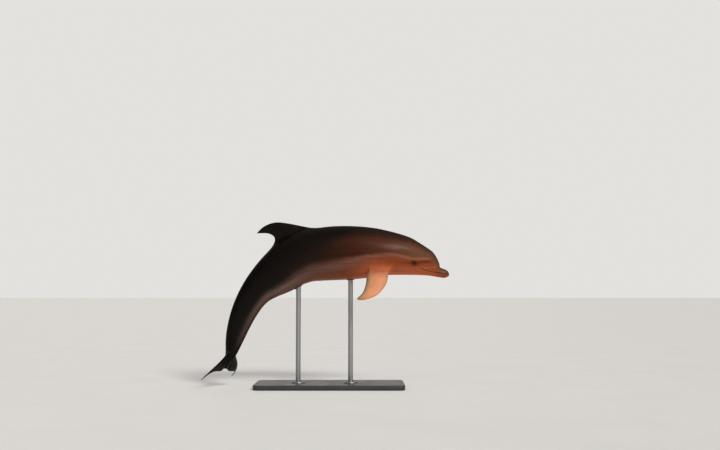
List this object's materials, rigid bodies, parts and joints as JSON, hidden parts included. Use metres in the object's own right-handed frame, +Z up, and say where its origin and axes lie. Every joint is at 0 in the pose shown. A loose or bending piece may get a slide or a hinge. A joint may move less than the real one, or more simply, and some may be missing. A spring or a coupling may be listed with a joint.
{
  "type": "bottlenose dolphin museum model",
  "caption": "Life-size bottlenose dolphin in mid leap, body arched and tail hanging, carried by upright rods on a flat display base.",
  "frame": {"origin": "centre of the display base's underside, on the floor", "axes": "+X from tail to beak, the way the animal leaps; +Y to the animal's left; +Z up from the floor"},
  "size_m": [2.2335, 0.6642, 1.5165],
  "materials": {
    "dark_skin": "satin, wet dark charcoal skin",
    "grey_skin": "satin, wet grey-brown skin",
    "pale_skin": "satin, wet pale pinkish-grey skin",
    "eye": "gloss",
    "painted_wood": "satin dark grey paint",
    "brushed_steel": "brushed"
  },
  "bodies": {
    "root": {"head": "grey_skin", "lower_jaw": "pale_skin", "thorax": "grey_skin", "abdomen": "grey_skin", "tail_stock_front": "dark_skin", "tail_stock_rear": "dark_skin", "dorsal_fin": "dark_skin", "flipper_left": "pale_skin", "flipper_right": "pale_skin", "fluke_left": "dark_skin", "fluke_right": "dark_skin", "eye_left": "eye", "eye_right": "eye", "stand_base": "painted_wood", "stand_rod_front": "brushed_steel", "stand_rod_rear": "brushed_steel", "stand_flange_front": "brushed_steel", "stand_flange_rear": "brushed_steel"}
  },
  "joints": []
}
